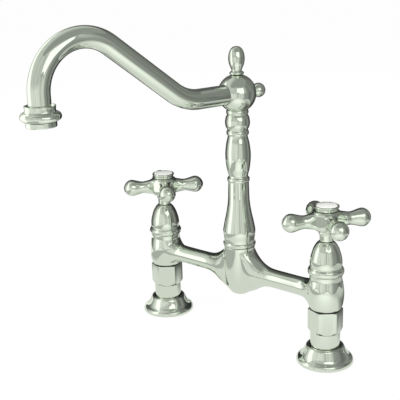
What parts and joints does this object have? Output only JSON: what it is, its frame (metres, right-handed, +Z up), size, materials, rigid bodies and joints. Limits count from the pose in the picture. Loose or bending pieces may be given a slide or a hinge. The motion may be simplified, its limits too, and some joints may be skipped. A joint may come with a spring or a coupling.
{
  "type": "bridge kitchen faucet",
  "caption": "Deck-mounted bridge kitchen faucet with cross handles on shaped valve bodies and a swivelling gooseneck spout on a turned column.",
  "frame": {"origin": "plan centre of the whole faucet at rest, on the deck plane under its flanges", "axes": "+X from the hot valve to the cold valve, -Y forward towards the outlet, +Z up from the deck"},
  "size_m": [0.2717, 0.2521, 0.3222],
  "materials": {
    "chrome": "polished plating with a faint warm green-grey cast",
    "brass": "machined",
    "steel": "plain stainless steel",
    "ceramic": "lapped white ceramic",
    "enamel": "glossy white",
    "acetal": "natural white moulded plastic",
    "rubber": "plain black rubber"
  },
  "bodies": {
    "root": {"bridge_body": "chrome", "swivel_bush": "acetal", "spout_snap_ring": "steel", "hot_flange": "chrome", "hot_flange_gasket": "rubber", "hot_shank_collar": "chrome", "hot_supply_shank": "brass", "hot_union_nut": "chrome", "hot_union_washer": "rubber", "hot_seat_seal": "rubber", "hot_cartridge_body": "brass", "hot_fixed_disc": "ceramic", "hot_bonnet": "chrome", "cold_flange": "chrome", "cold_flange_gasket": "rubber", "cold_shank_collar": "chrome", "cold_supply_shank": "brass", "cold_union_nut": "chrome", "cold_union_washer": "rubber", "cold_seat_seal": "rubber", "cold_cartridge_body": "brass", "cold_fixed_disc": "ceramic", "cold_bonnet": "chrome"},
    "hot_handle": {"hot_turning_disc": "ceramic", "hot_valve_stem": "brass", "hot_stem_ring": "rubber", "hot_cross_handle": "chrome", "hot_handle_screw": "steel", "hot_index_bezel": "chrome", "hot_index_button": "enamel"},
    "cold_handle": {"cold_turning_disc": "ceramic", "cold_valve_stem": "brass", "cold_stem_ring": "rubber", "cold_cross_handle": "chrome", "cold_handle_screw": "steel", "cold_index_bezel": "chrome", "cold_index_button": "enamel"},
    "spout": {"column": "chrome", "lower_swivel_ring": "rubber", "upper_swivel_ring": "rubber", "spout_ball": "chrome", "finial": "chrome", "rear_knob": "chrome", "spout_tube": "chrome", "aerator_collar": "chrome", "aerator_housing": "chrome", "aerator_screen": "acetal", "aerator_washer": "rubber"}
  },
  "joints": [
    {"name": "hot_handle_turn", "type": "hinge", "parent": "root", "child": "hot_handle", "pos_m": [-0.10203, 0.09144, 0.14], "axis": [0, 0, 1], "range_deg": [0, 90]},
    {"name": "cold_handle_turn", "type": "hinge", "parent": "root", "child": "cold_handle", "pos_m": [0.10117, 0.09144, 0.14], "axis": [0, 0, 1], "range_deg": [-90, 0]},
    {"name": "spout_swivel", "type": "hinge", "parent": "root", "child": "spout", "pos_m": [-0.00043, 0.09144, 0.0956], "axis": [0, 0, 1], "continuous": true}
  ]
}
